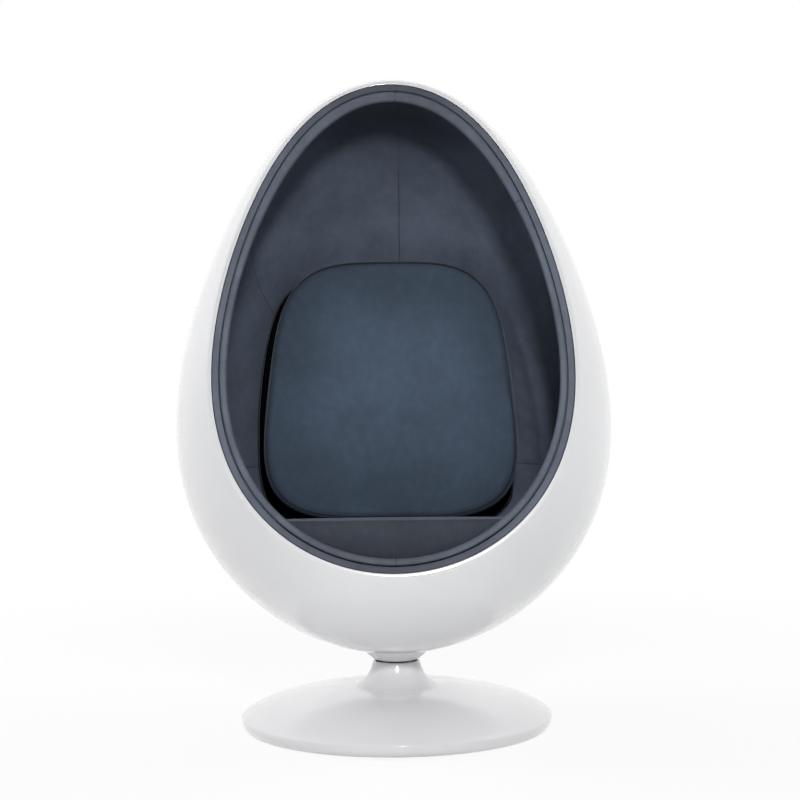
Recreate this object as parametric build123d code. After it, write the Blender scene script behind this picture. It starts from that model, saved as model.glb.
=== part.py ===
from build123d import *
import os
from math import cos, hypot, pi, radians, sin, sqrt, tan

# Pod chair. Millimetres, +Z up, origin on the floor under the swivel axis, sitter faces -Y.

# ------------------------------------------------------------------ driving sizes
# general clearances
fit_gap = 0.3            # soft or glued pieces to their neighbours
slip_gap = 0.05          # turned pieces that slide or turn on each other

# egg-shaped shell
pod_bottom_z = 148.0
pod_top_z = 1299.0
pod_radius = 425.0       # at half height
pod_taper = 0.241        # narrows the top and widens the bottom
pod_rounding = 0.109     # fills out both ends again
shell_wall = 7.0
profile_steps = 14

# slanted opening
opening_cut = 183.0      # depth of the plane behind the front of the egg, at half height
opening_tilt = 16.8      # top leans back, degrees

# upholstered rim
trim_width = 12.5
trim_depth = 13.5
roll_radius = 7.5
roll_proud = 2.5
rim_stations = 10        # arcs change at these along the rim

# lining panels
lining_thickness = 19.0
back_seam_x = 0.0
level_seam_z = 512.0
slant_seam_y = 161.0     # a point on the slanting seam
slant_seam_z = 938.0
slant_seam_angle = 41.6

# well in the lining behind the cushion
well_bottom_z = 385.0
well_top_z = 925.0
well_half_low = 281.0
well_half_high = 226.0
well_bow = 35.0
well_corner_low = 100.0
well_corner_high = 80.0
dust_cloth_thickness = 2.0

# seat and apron
seat_edge_z = 447.0
seat_rake = 7.0          # slopes down to the back, degrees
apron_setback = 18.0     # front face behind the opening plane
apron_pad_thickness = 22.0
apron_board_thickness = 12.0
apron_board_drop = 12.0  # board stops short of the seat's surface
apron_edge_round = 6.0
seat_pad_thickness = 50.0
seat_crown = 6.0
deck_thickness = 15.0
batten_width = 34.0
batten_height = 30.0
batten_span = 64.0       # angle of each batten, degrees
batten_middles = (0, 90, 180)
deck_screw_spread = 15.0 # of a pair of screws to each side of a batten's middle, degrees

# back cushion
cushion_top_z = 950.0
cushion_side_gap_low = 19.0   # to the sides of the well
cushion_side_gap_high = 17.0
cushion_bow = 22.0
cushion_end_bow = 6.0
cushion_corner_low = 110.0
cushion_corner_high = 88.0
cushion_thickness = 175.0   # in the middle
cushion_front_crown = 25.0  # how much the corners lie back from the middle
cushion_back_crown = 45.0
cushion_edge_round = 40.0
cushion_setback = 239.0     # middle of the cushion in front of the egg's back
cushion_recline = 5.0

# collar and neck
collar_top_radius = 70.0
collar_bottom_radius = 46.5
collar_bottom_z = 134.0
collar_top_z = 154.0
collar_overrun = 14.0    # drawn on past its top, then trimmed by the egg
collar_corner = 5.0
collar_wall = 2.6
collar_gap = 4.0         # dark gap between neck and collar

# swivel flange and bolts
flange_thickness = 8.0
hub_radius = 24.0
hub_gap = 0.5
spigot_radius = 12.0
packer_radius = 50.0
bolt_circle = 33.0
bolt_count = 4
bolt_radius = 4.0
bolt_hole_radius = 4.4
bolt_head_radius = 7.5
bolt_head_height = 5.3
bolt_turn = 45.0         # first bolt, degrees from +X
bolt_tip_gap = 1.0       # tip stays above the flange's lower face
washer_radius = 10.0
washer_thickness = 2.0
board_radius = 120.0
board_top_z = 186.0
collar_screw_circle = 36.0
collar_screw_count = 3
collar_screw_radius = 1.5
collar_screw_head = 1.2
collar_screw_bite = 4.5
collar_screw_gap = 0.2

# swivel spindle and bearings
spindle_radius = 20.0
spindle_bottom_z = 28.0
spindle_chamfer = 2.0
groove_z = 32.0
groove_depth = 1.5
circlip_thickness = 1.8
circlip_radius = 23.0
circlip_gap = 14.0
spindle_washer_radius = 29.0
bush_radius = 25.0
bush_length = 22.0
housing_radius = 31.0
housing_bottom_z = 38.0
housing_flange_radius = 38.0
housing_flange_thickness = 4.0
bearing_height = 13.0
bearing_cover = 5.0      # neck stands above the bearing
bearing_radius = 30.0
roller_radius = 2.5
roller_length = 6.0
roller_circle = 25.2
roller_count = 12
cage_thickness = 2.6
cage_inner_radius = 21.2
cage_outer_radius = 29.2

# base
base_radius = 313.0
base_edge_z = 23.2       # height of the widest line
base_rise = 60.7
base_fall_power = 2.18
base_round_power = 0.68
base_tuck = 8.6          # foot lies inside the widest line
base_bottom_z = 2.0
base_wall = 5.0
neck_foot_radius = 100.0
neck_lean = 0.35
neck_waist_out = 0.22    # shares of the neck's width and height at its waist
neck_waist_up = 0.44
dome_stations = 6
neck_top_radius = 47.0
boss_setback = 83.0      # inside the widest line
boss_count = 6
boss_radius = 9.0
boss_sink = 1.0          # into the dome's wall
boss_screw_radius = 2.2
boss_screw_head = 5.0
boss_screw_head_height = 3.0
boss_screw_tip_gap = 2.0
boss_screw_length = 32.0
plate_gap = 2.4          # to the inside of the moulding
plate_thickness = 10.0
underpad_setback = 9.0   # inside the plate's edge
underpad_thickness = 3.0
post_radius = 35.0
gusset_reach = 140.0
gusset_toe = 9.0
gusset_height = 70.0
gusset_thickness = 5.0
gusset_count = 4
gusset_turn = 30.0

# screws in the seat
deck_screw_radius = 2.5
deck_screw_head = 5.0
deck_screw_head_height = 3.0
deck_screw_length = 34.0
deck_screw_inset = 34.0  # from the outside of the shell
apron_screw_spread = 105.0
apron_screw_count = 4
settling_rounds = 8      # repeats until a screw's place on the sloping deck stands still

# ------------------------------------------------------------------ derived places
pod_middle_z = (pod_bottom_z + pod_top_z) / 2
pod_half_height = (pod_top_z - pod_bottom_z) / 2
opening_setback = pod_radius - opening_cut
lining_outset = shell_wall + fit_gap
lining_inset = lining_outset + lining_thickness
opening = Plane(
    origin=(0, -opening_setback, pod_middle_z),
    x_dir=(1, 0, 0),
    z_dir=(0, -cos(radians(opening_tilt)), sin(radians(opening_tilt))),
)
apron_board_front = apron_setback + apron_pad_thickness + fit_gap
seat_front = apron_board_front + apron_board_thickness
seat_edge_y = (
    -opening_setback
    + (seat_edge_z - pod_middle_z) * tan(radians(opening_tilt))
    + apron_setback / cos(radians(opening_tilt))
)
seat_half_span = pod_radius - lining_inset
seat_dome_radius = seat_half_span**2 / (2 * seat_crown)
seat_plane = Plane(
    origin=(0, seat_edge_y, seat_edge_z),
    x_dir=(1, 0, 0),
    z_dir=(0, sin(radians(seat_rake)), cos(radians(seat_rake))),
)
deck_top = seat_plane.offset(-seat_pad_thickness - fit_gap)
deck_bottom = deck_top.offset(-deck_thickness)
neck_top_z = collar_bottom_z - collar_gap
flange_bottom_z = collar_bottom_z + collar_wall
flange_top_z = flange_bottom_z + flange_thickness
flange_radius = collar_bottom_radius - collar_wall - fit_gap
bearing_top_z = neck_top_z - bearing_cover
bearing_bottom_z = bearing_top_z - bearing_height
roller_z = (bearing_top_z + bearing_bottom_z) / 2
race_thickness = bearing_height / 2 - roller_radius - slip_gap
plate_bottom_z = underpad_thickness
plate_top_z = plate_bottom_z + plate_thickness
base_foot_radius = base_radius - base_tuck
plate_radius = base_foot_radius - base_wall - plate_gap
underpad_radius = plate_radius - underpad_setback
boss_circle = base_radius - boss_setback
cushion_half_low = well_half_low - cushion_side_gap_low
cushion_half_high = well_half_high - cushion_side_gap_high
cushion_middle_y = pod_radius - cushion_setback
big = 2 * pod_top_z


# ------------------------------------------------------------------ shared forms
def egg_point(turn, inset):
    """Point of the egg's half profile, moved in square to the surface. turn: 0 bottom, pi top."""
    s = -cos(turn)
    swell = 1 - pod_taper * s + pod_rounding * s**3
    swell_slope = -pod_taper + 3 * pod_rounding * s**2
    r = pod_radius * sin(turn) * swell
    z = pod_middle_z + pod_half_height * s
    dr = pod_radius * (cos(turn) * swell + sin(turn) ** 2 * swell_slope)
    dz = pod_half_height * sin(turn)
    length = hypot(dr, dz)
    return r - inset * dz / length, z + inset * dr / length


def egg(inset):
    """Solid egg whose surface lies the inset inside the shell's outer surface."""
    points = [egg_point(pi * i / profile_steps, inset) for i in range(profile_steps + 1)]
    bottom = (0, 0, points[0][1])
    top = (0, 0, points[-1][1])
    side = Spline(
        bottom,
        *[(r, 0, z) for r, z in points[1:-1]],
        top,
        tangents=[(1, 0, 0), (-1, 0, 0)],
        tangent_scalars=(1, 1),
    )
    # two half turns, so that the surface is divided down its middle, front and back
    half = revolve(make_face([side, Line(top, bottom)]), Axis.Z, 180)
    left, right = (Rot(0, 0, turn) * half for turn in (90, -90))
    return left.solid().fuse(right.solid())


def egg_radius(z, inset):
    """Radius of the egg at a height, found by halving."""
    low, high = 0.0, pi
    while high - low > 1e-9:
        middle = (low + high) / 2
        if egg_point(middle, inset)[1] < z:
            low = middle
        else:
            high = middle
    return egg_point(low, inset)[0]


def crossing(depth, plane):
    """Point on the middle line of the seat where a layer behind the opening meets a plane."""
    first, second = opening.z_dir, plane.z_dir
    first_sum = first.dot(opening.origin) - depth
    second_sum = second.dot(plane.origin)
    scale = first.Y * second.Z - first.Z * second.Y
    y = (first_sum * second.Z - second_sum * first.Z) / scale
    z = (first.Y * second_sum - second.Y * first_sum) / scale
    return y, z


def behind(depth):
    """Everything deeper than the given depth behind the opening plane."""
    return opening.offset(-depth) * Box(big, big, big, align=(Align.CENTER, Align.CENTER, Align.MAX))


def slab(front, back):
    """Layer between two depths behind the opening plane."""
    return opening.offset(-back) * Box(big, big, back - front, align=(Align.CENTER, Align.CENTER, Align.MIN))


def above(plane):
    return plane * Box(big, big, big, align=(Align.CENTER, Align.CENTER, Align.MIN))


def below(plane):
    return plane * Box(big, big, big, align=(Align.CENTER, Align.CENTER, Align.MAX))


def peg(radius, low, high):
    """Upright cylinder at the origin of its own place."""
    return Pos(0, 0, low) * Cylinder(radius, high - low, align=(Align.CENTER, Align.CENTER, Align.MIN))


def disc(radius, low, high, bore=0.0):
    """Disc or ring on the swivel axis between two heights."""
    solid = peg(radius, low, high)
    if bore:
        solid -= peg(bore, low - 1, high + 1)
    return solid


def pad_outline(bottom, top, half_low, half_high, bow, end_bow, corner_low, corner_high):
    """Rounded trapezoid with bowed sides, drawn in X and Y."""
    middle_half = (half_low + half_high) / 2 + bow
    middle = (bottom + top) / 2
    corners = [(-half_low, bottom), (half_low, bottom), (half_high, top), (-half_high, top)]
    sides = [
        ThreePointArc(corners[0], (0, bottom - end_bow), corners[1]),
        ThreePointArc(corners[1], (middle_half, middle), corners[2]),
        ThreePointArc(corners[2], (0, top + end_bow), corners[3]),
        ThreePointArc(corners[3], (-middle_half, middle), corners[0]),
    ]
    face = make_face(sides)
    by_height = face.vertices().sort_by(Axis.Y)
    face = fillet(by_height[:2], corner_low)
    by_height = face.vertices().sort_by(Axis.Y)
    return fillet(by_height[-2:], corner_high)


def save(name, shape):
    solids = shape.solids() if hasattr(shape, "solids") else [s for item in shape for s in item.solids()]
    whole = solids[0] if len(solids) == 1 else Compound(children=list(solids))
    export_step(whole, f"parts/{name}.step")


def around(count, start=0.0):
    """Places spaced evenly round the swivel axis."""
    return [Rot(0, 0, start + 360 * i / count) for i in range(count)]


# ------------------------------------------------------------------ base
def dome_height(r, wall=0.0):
    """Height of the base's domed top at a radius, on its outside or a wall's thickness in."""
    share = 1 - (r / (base_radius - wall)) ** base_fall_power
    return base_edge_z + (base_rise - wall) * max(share, 0) ** base_round_power


def base_profile(wall):
    """Half profile of the base moulding, closed down to its lower edge."""
    top = neck_top_radius - wall
    foot = neck_foot_radius - wall
    foot_z = dome_height(foot, wall)
    rim = base_radius - wall
    lean = (neck_lean, 0, -1)
    waist_z = foot_z + neck_waist_up * (neck_top_z - foot_z)
    waist = (top + neck_waist_out * (foot - top), 0, waist_z)
    slope = dome_height(foot + 1, wall) - foot_z
    neck = Spline(
        (top, 0, neck_top_z),
        waist,
        (foot, 0, foot_z),
        tangents=[lean, (1, 0, slope)],
        tangent_scalars=(1, 1),
    )
    turns = [pi / 2 * i / dome_stations for i in range(1, dome_stations)]
    radii = [foot + (rim - foot) * sin(turn) for turn in turns]
    dome = Spline(
        (foot, 0, foot_z),
        *[(r, 0, dome_height(r, wall)) for r in radii],
        (rim, 0, base_edge_z),
        tangents=[(1, 0, slope), (0, 0, -1)],
        tangent_scalars=(1, 1),
    )
    edge = (base_foot_radius - wall, 0, base_bottom_z)
    tuck = Spline((rim, 0, base_edge_z), edge, tangents=[(0, 0, -1), (-1, 0, -1)], tangent_scalars=(1, 1))
    centre = [Line(edge, (0, 0, base_bottom_z)), Line((0, 0, base_bottom_z), (0, 0, neck_top_z))]
    return make_face([neck, dome, tuck, *centre, Line((0, 0, neck_top_z), (top, 0, neck_top_z))])


def base_shell():
    shell = revolve(base_profile(0), Axis.Z) - revolve(base_profile(base_wall), Axis.Z)
    boss_top = dome_height(boss_circle + boss_radius) - boss_sink
    hole_top = plate_bottom_z + boss_screw_length + boss_screw_tip_gap
    for place in around(boss_count):
        shell += place * Pos(boss_circle, 0, 0) * peg(boss_radius, plate_top_z, boss_top)
        shell -= place * Pos(boss_circle, 0, 0) * peg(boss_screw_radius + slip_gap, plate_bottom_z, hole_top)
    return shell


def base_screws():
    head_top = plate_bottom_z + boss_screw_head_height
    screw = peg(boss_screw_head, plate_bottom_z + slip_gap, head_top)
    screw += peg(boss_screw_radius, head_top, plate_bottom_z + boss_screw_length)
    return [place * Pos(boss_circle, 0, 0) * screw for place in around(boss_count)]


def floor_plate():
    plate = disc(plate_radius, plate_bottom_z, plate_top_z)
    for place in around(boss_count):
        plate -= place * Pos(boss_circle, 0, 0) * peg(boss_screw_radius + fit_gap, 0, pod_bottom_z)
        plate -= place * Pos(boss_circle, 0, 0) * peg(
            boss_screw_head + fit_gap, 0, plate_bottom_z + boss_screw_head_height
        )
    return plate


def post_gussets():
    inner = post_radius + slip_gap
    outline = Polyline(
        (inner, 0, plate_top_z),
        (gusset_reach, 0, plate_top_z),
        (gusset_reach, 0, plate_top_z + gusset_toe),
        (inner, 0, plate_top_z + gusset_height),
        close=True,
    )
    rib = extrude(make_face(outline), gusset_thickness / 2, both=True)
    return [place * rib for place in around(gusset_count, gusset_turn)]


def bearing_housing():
    top = bearing_bottom_z
    body = disc(housing_radius - slip_gap, housing_bottom_z, top, bore=bush_radius)
    flange = disc(housing_flange_radius, top - housing_flange_thickness, top, bore=bush_radius)
    return body + flange


def bush(low):
    return disc(bush_radius - slip_gap, low, low + bush_length, bore=spindle_radius + slip_gap)


def race(low):
    """One flat race of the thrust bearing."""
    return disc(bearing_radius, low, low + race_thickness, bore=spindle_radius + 2 * slip_gap)


def roller_cage():
    low = roller_z - cage_thickness / 2
    cage = disc(cage_outer_radius, low, low + cage_thickness, bore=cage_inner_radius)
    pocket = Pos(roller_circle, 0, roller_z) * Box(
        roller_length + 4 * slip_gap, 2 * roller_radius + 2 * slip_gap, 2 * cage_thickness
    )
    for place in around(roller_count):
        cage -= place * pocket
    return cage


def bearing_rollers():
    roller = Pos(roller_circle, 0, roller_z) * Rot(0, 90, 0) * Cylinder(roller_radius, roller_length)
    return [place * roller for place in around(roller_count)]


# ------------------------------------------------------------------ swivel
def swivel_spindle():
    shaft = disc(spindle_radius, spindle_bottom_z, bearing_top_z)
    groove_top = groove_z + circlip_thickness + 2 * slip_gap
    shaft -= disc(circlip_radius, groove_z, groove_top, bore=spindle_radius - groove_depth)
    hub = disc(hub_radius, bearing_top_z, flange_bottom_z)
    spigot = disc(spigot_radius, flange_bottom_z, flange_top_z)
    return chamfer(shaft.edges().sort_by(Axis.Z)[0], spindle_chamfer) + hub + spigot


def spindle_circlip():
    low = groove_z + slip_gap
    ring = disc(circlip_radius, low, low + circlip_thickness, bore=spindle_radius - groove_depth + slip_gap)
    slot = Pos(circlip_radius, 0, low) * Box(circlip_radius * 2, circlip_gap, 4 * circlip_thickness)
    return ring - slot


def spindle_washer():
    low = groove_z + slip_gap + circlip_thickness
    high = housing_bottom_z - fit_gap
    return disc(spindle_washer_radius, low, high, bore=spindle_radius + slip_gap)


def swivel_flange():
    flange = disc(flange_radius, flange_bottom_z, flange_top_z, bore=spigot_radius + slip_gap)
    for place in around(bolt_count, bolt_turn):
        flange -= place * Pos(bolt_circle, 0, 0) * peg(bolt_radius + slip_gap, 0, pod_middle_z)
    for place in around(collar_screw_count):
        flange -= place * Pos(collar_screw_circle, 0, 0) * peg(
            collar_screw_radius + slip_gap, 0, flange_bottom_z + collar_screw_bite + hub_gap
        )
    return flange


def collar_profile(wall):
    """Half profile of the collar; its upper edge runs on into the egg."""
    lean = (collar_top_radius - collar_bottom_radius) / (collar_top_z - collar_bottom_z)
    top_radius = collar_top_radius + lean * collar_overrun - wall * sqrt(2)
    top_z = collar_top_z + collar_overrun
    bottom = collar_bottom_z + wall
    outline = Polyline(
        (0, 0, bottom),
        (collar_bottom_radius - wall, 0, bottom),
        (top_radius, 0, top_z),
        (0, 0, top_z),
        close=True,
    )
    return make_face(outline)


def collar():
    outer = revolve(collar_profile(0), Axis.Z)
    outer = fillet(outer.edges().filter_by(GeomType.CIRCLE).sort_by(Axis.Z)[0], collar_corner)
    dish = outer - revolve(collar_profile(collar_wall), Axis.Z) - egg(-fit_gap)
    dish -= disc(hub_radius + hub_gap, 0, pod_bottom_z)
    for place in around(collar_screw_count):
        dish -= place * Pos(collar_screw_circle, 0, 0) * peg(
            collar_screw_radius + collar_screw_gap, 0, pod_bottom_z
        )
    return dish.solids().sort_by(Axis.Z)[0]


def collar_screws():
    head_z = collar_bottom_z - slip_gap
    screw = peg(collar_screw_radius, head_z, flange_bottom_z + collar_screw_bite)
    screw += peg(2 * collar_screw_radius, head_z - collar_screw_head, head_z)
    return [place * Pos(collar_screw_circle, 0, 0) * screw for place in around(collar_screw_count)]


def bolt_holes():
    drill = Pos(bolt_circle, 0, 0) * peg(bolt_hole_radius, 0, pod_middle_z)
    return [place * drill for place in around(bolt_count, bolt_turn)]


def seating_pad():
    """Packer dished to take the bottom of the egg, which is as good as a sphere there."""
    dish_radius = (pod_radius * (1 + pod_taper - pod_rounding)) ** 2 / pod_half_height
    dish = Pos(0, 0, pod_bottom_z - slip_gap + dish_radius) * Sphere(dish_radius)
    packer = disc(packer_radius, flange_top_z + slip_gap, pod_bottom_z + packer_radius) - dish
    return packer.solids().sort_by(Axis.Z)[0] - bolt_holes()


def reinforcing_board():
    return (disc(board_radius, pod_bottom_z, board_top_z) & egg(lining_outset)) - bolt_holes()


def mounting_bolts():
    head_z = board_top_z + washer_thickness
    bolt = peg(bolt_radius, flange_bottom_z + bolt_tip_gap, head_z)
    head = Pos(0, 0, head_z) * extrude(RegularPolygon(bolt_head_radius, 6), bolt_head_height)
    return [place * Pos(bolt_circle, 0, 0) * (bolt + head) for place in around(bolt_count, bolt_turn)]


def bolt_washers():
    washer = peg(washer_radius, board_top_z, board_top_z + washer_thickness)
    washer -= peg(bolt_hole_radius, 0, pod_middle_z)
    return [place * Pos(bolt_circle, 0, 0) * washer for place in around(bolt_count, bolt_turn)]


# ------------------------------------------------------------------ shell and rim
def pod_shell():
    """The egg's wall behind the opening plane, with the bolt holes."""
    return egg(0).cut(egg(shell_wall), above(opening), *bolt_holes())


def rim_points(inset, count):
    """Points and directions along a curve in the opening plane, parallel to the shell's inner edge."""
    section = egg(lining_outset) & Face.make_rect(big, big, opening)
    border = section.faces()[0].outer_wire()
    start = border.param_at_point(border.vertices().sort_by(Axis.Z)[0].center())
    steps = []
    for i in range(count):
        share = (start + i / count) % 1
        at = border.position_at(share)
        along = border.tangent_at(share)
        inward = along.cross(opening.z_dir).normalized()
        if inward.dot(opening.origin - at) < 0:
            inward = -inward
        steps.append((at + inward * inset, along))
    return steps


def arc_pair(start, start_way, end, end_way):
    """Two arcs that leave the start one way, meet smoothly and arrive at the end the other way."""
    gap = end - start
    ways = start_way + end_way
    turn = 2 * (1 - start_way.dot(end_way))
    reach = (-gap.dot(ways) + sqrt(gap.dot(ways) ** 2 + turn * gap.dot(gap))) / turn
    joint = (start + start_way * reach + end - end_way * reach) / 2
    first = TangentArc(start, joint, tangent=start_way)
    return [first, TangentArc(joint, end, tangent=first % 1)]


def rim_wire(inset):
    """The parallel curve as a closed run of smooth arcs."""
    steps = rim_points(inset, rim_stations)
    arcs = []
    for (start, start_way), (end, end_way) in zip(steps, steps[1:] + steps[:1]):
        arcs += arc_pair(start, start_way, end, end_way)
    return Wire(arcs)


def rim_trim():
    hole = extrude(Face(rim_wire(trim_width)), big / 4, both=True)
    return (egg(lining_outset) & slab(0, trim_depth)) - hole


def rim_roll():
    path = rim_wire(trim_width + fit_gap + roll_radius)
    path = path.moved(Location(opening.z_dir * (roll_proud - roll_radius)))
    start = Plane(origin=path @ 0, x_dir=opening.z_dir, z_dir=path % 0)
    back = roll_proud + trim_depth - 2 * roll_radius
    round_front = ThreePointArc((0, roll_radius), (roll_radius, 0), (0, -roll_radius))
    flat_back = Polyline((0, -roll_radius), (-roll_radius - back, -roll_radius),
                         (-roll_radius - back, roll_radius), (0, roll_radius))
    return sweep(start * make_face([round_front, *flat_back.edges()]), path=path)


# ------------------------------------------------------------------ lining
def well_cut(outset=0.0):
    """Upright prism through the back where the lining is left open behind the cushion."""
    face = pad_outline(
        well_bottom_z + outset,
        well_top_z - outset,
        well_half_low - outset,
        well_half_high - outset,
        well_bow,
        0.01,
        well_corner_low,
        well_corner_high,
    )
    return extrude(Plane(origin=(0, 0, 0), x_dir=(-1, 0, 0), z_dir=(0, 1, 0)) * face, big / 2)


slant_seam = Plane(
    origin=(0, slant_seam_y, slant_seam_z),
    x_dir=(1, 0, 0),
    z_dir=(0, sin(radians(slant_seam_angle)), cos(radians(slant_seam_angle))),
)
level_seam = Plane(origin=(0, 0, level_seam_z))
left_side = Plane(origin=(back_seam_x, 0, 0), z_dir=(-1, 0, 0))
right_side = Plane(origin=(back_seam_x, 0, 0), z_dir=(1, 0, 0))


def lining_skin():
    skin = egg(lining_outset) - egg(lining_inset)
    skin &= behind(trim_depth + fit_gap)
    skin &= above(deck_top.offset(fit_gap))
    return skin - well_cut()


def lining_panels():
    """Panels between the seams, left and right of the seam down the back."""
    skin = lining_skin()
    hood = skin & above(slant_seam)
    side = (skin & below(slant_seam)) & above(level_seam)
    lower = skin & below(level_seam) & behind(seat_front + fit_gap)
    panels = {}
    for name, ring in (("hood", hood), ("side", side), ("lower", lower)):
        for hand, half in (("left", left_side), ("right", right_side)):
            panels[f"lining_{name}_{hand}"] = ring & above(half)
    return panels


def back_dust_cloth():
    cloth = egg(lining_outset) - egg(lining_outset + dust_cloth_thickness)
    return cloth & well_cut(1.0) & above(deck_top.offset(fit_gap))


# ------------------------------------------------------------------ seat
def wedge(middle, span):
    """Upright sector round the swivel axis."""
    half = radians(span / 2)
    far = big * cos(half), big * sin(half)
    sector = make_face(Polyline((0, 0), far, (far[0], -far[1]), close=True))
    return Rot(0, 0, middle) * extrude(sector, pod_middle_z)


def deck_screw(gap=0.0):
    """Countersunk screw, head up, its top flush with the origin."""
    screw = peg(deck_screw_radius + gap, -deck_screw_length - gap, -deck_screw_head_height)
    return screw + peg(deck_screw_head + gap, -deck_screw_head_height - gap, gap)


def deck_screw_seats():
    """Places on the deck above the battens, square to the deck."""
    seats = []
    pair = (-deck_screw_spread, deck_screw_spread)
    for angle in [middle + side for middle in batten_middles for side in pair]:
        along, z = 0.0, seat_edge_z - seat_pad_thickness
        for _ in range(settling_rounds):
            reach = egg_radius(z, deck_screw_inset)
            along = (reach * sin(radians(angle)) - seat_edge_y) * tan(radians(seat_rake))
            z = seat_edge_z - along - (seat_pad_thickness + fit_gap) / cos(radians(seat_rake))
        x, y = reach * cos(radians(angle)), reach * sin(radians(angle))
        seats.append(Pos(x, y, z) * Rot(-seat_rake, 0, 0))
    return seats


def apron_screw_seats():
    """Places on the front of the apron board, level with the middle of the deck."""
    y, z = crossing(apron_board_front, deck_top.offset(-deck_thickness / 2))
    step = 2 * apron_screw_spread / (apron_screw_count - 1)
    return [
        Pos(-apron_screw_spread + i * step, y, z) * Rot(90 - opening_tilt, 0, 0)
        for i in range(apron_screw_count)
    ]


def seat_screw_holes(solid, seats):
    for seat in seats:
        solid -= seat * deck_screw(slip_gap)
    return solid


def deck_battens():
    ring = egg(lining_outset) - egg(lining_outset + batten_width)
    ring &= below(deck_bottom) & above(deck_bottom.offset(-batten_height))
    ring = seat_screw_holes(ring, deck_screw_seats())
    return [ring & wedge(middle, batten_span) for middle in batten_middles]


def seat_deck():
    board = egg(lining_outset) & below(deck_top) & above(deck_bottom)
    board = board & behind(seat_front)
    return seat_screw_holes(board, deck_screw_seats() + apron_screw_seats())


def deck_screws():
    return [seat * deck_screw() for seat in deck_screw_seats()]


def apron_screws():
    return [seat * deck_screw() for seat in apron_screw_seats()]


def apron_board():
    board = egg(lining_outset) & slab(apron_board_front, seat_front)
    board &= below(seat_plane.offset(-apron_board_drop))
    return seat_screw_holes(board, apron_screw_seats())


def apron_pad():
    """Padded front panel; its section is drawn across the seat, then run from wall to wall."""
    tilt = radians(opening_tilt)
    drop = seat_edge_z - pod_bottom_z
    front_top = crossing(apron_setback, seat_plane)
    back_top = crossing(apron_setback + apron_pad_thickness, seat_plane)
    front_low = (front_top[0] - drop * sin(tilt), front_top[1] - drop * cos(tilt))
    back_low = (back_top[0] - drop * sin(tilt), back_top[1] - drop * cos(tilt))
    section = make_face(Polyline(front_low, front_top, back_top, back_low, close=True))
    top_corner = section.vertices().sort_by(Axis.Y)[-1]
    section = fillet(top_corner, apron_edge_round)
    return extrude(Plane.YZ * section, big / 4, both=True) & egg(lining_outset)


def seat_surface_z(y):
    """Height of the crowned seat on its middle line."""
    along = (y - seat_edge_y) / cos(radians(seat_rake))
    crown = seat_crown - (along - seat_half_span) ** 2 / (2 * seat_dome_radius)
    return seat_edge_z - along * sin(radians(seat_rake)) + crown * cos(radians(seat_rake))


def seat_pad():
    dome = seat_plane * Pos(0, seat_half_span, seat_crown - seat_dome_radius) * Sphere(seat_dome_radius)
    body = egg(lining_inset + fit_gap) & above(deck_top) & dome
    return body & behind(seat_front + fit_gap)


def back_cushion():
    """Rounded pad, thickest in the middle, its faces' edges drawn in; leans back a little."""
    lean = tan(radians(seat_rake)) - tan(radians(cushion_recline))
    lift = (cushion_thickness / 2 - cushion_edge_round) * lean
    bottom_z = seat_surface_z(cushion_middle_y) + cushion_end_bow + fit_gap + lift
    middle_z = (bottom_z + cushion_top_z) / 2
    outline = pad_outline(
        bottom_z,
        cushion_top_z,
        cushion_half_low,
        cushion_half_high,
        cushion_bow,
        cushion_end_bow,
        cushion_corner_low,
        cushion_corner_high,
    )
    upright = Plane(origin=(0, cushion_middle_y, 0), x_dir=(1, 0, 0), z_dir=(0, -1, 0))
    pad = extrude(upright * outline, cushion_thickness / 2, both=True)
    reach = hypot(cushion_half_low, middle_z - bottom_z)
    for crown, side in ((cushion_front_crown, -1), (cushion_back_crown, 1)):
        dome_radius = reach**2 / (2 * crown)
        centre_y = cushion_middle_y + side * (cushion_thickness / 2 - dome_radius)
        pad &= Pos(0, centre_y, middle_z) * Sphere(dome_radius)
    face_edges = [edge for face in pad.faces().filter_by(GeomType.SPHERE) for edge in face.edges()]
    pad = fillet(face_edges, cushion_edge_round)
    hinge = Axis((0, cushion_middle_y, bottom_z), (1, 0, 0))
    return pad.rotate(hinge, -cushion_recline)


# ------------------------------------------------------------------ write the parts
def main_parts():
    parts = {
        "base_shell": base_shell(),
        "underpad": disc(underpad_radius, 0, underpad_thickness),
        "floor_plate": floor_plate(),
        "centre_post": disc(
            post_radius, plate_top_z, bearing_bottom_z - housing_flange_thickness, bore=housing_radius
        ),
        "post_gussets": post_gussets(),
        "base_screws": base_screws(),
        "bearing_housing": bearing_housing(),
        "upper_bush": bush(bearing_bottom_z - bush_length),
        "lower_bush": bush(housing_bottom_z),
        "thrust_race_lower": race(bearing_bottom_z),
        "roller_cage": roller_cage(),
        "bearing_rollers": bearing_rollers(),
        "thrust_race_upper": race(bearing_top_z - race_thickness),
        "swivel_spindle": swivel_spindle(),
        "spindle_circlip": spindle_circlip(),
        "spindle_washer": spindle_washer(),
        "swivel_flange": swivel_flange(),
        "collar": collar(),
        "collar_screws": collar_screws(),
        "seating_pad": seating_pad(),
        "pod_shell": pod_shell(),
        "reinforcing_board": reinforcing_board(),
        "mounting_bolts": mounting_bolts(),
        "bolt_washers": bolt_washers(),
        "rim_trim": rim_trim(),
        "rim_roll": rim_roll(),
        "back_dust_cloth": back_dust_cloth(),
        "deck_battens": deck_battens(),
        "seat_deck": seat_deck(),
        "deck_screws": deck_screws(),
        "apron_screws": apron_screws(),
        "apron_board": apron_board(),
        "apron_pad": apron_pad(),
        "seat_pad": seat_pad(),
        "back_cushion": back_cushion(),
    }
    parts.update(lining_panels())
    return parts


os.makedirs("parts", exist_ok=True)
for part_name, part_shape in main_parts().items():
    save(part_name, part_shape)
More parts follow.
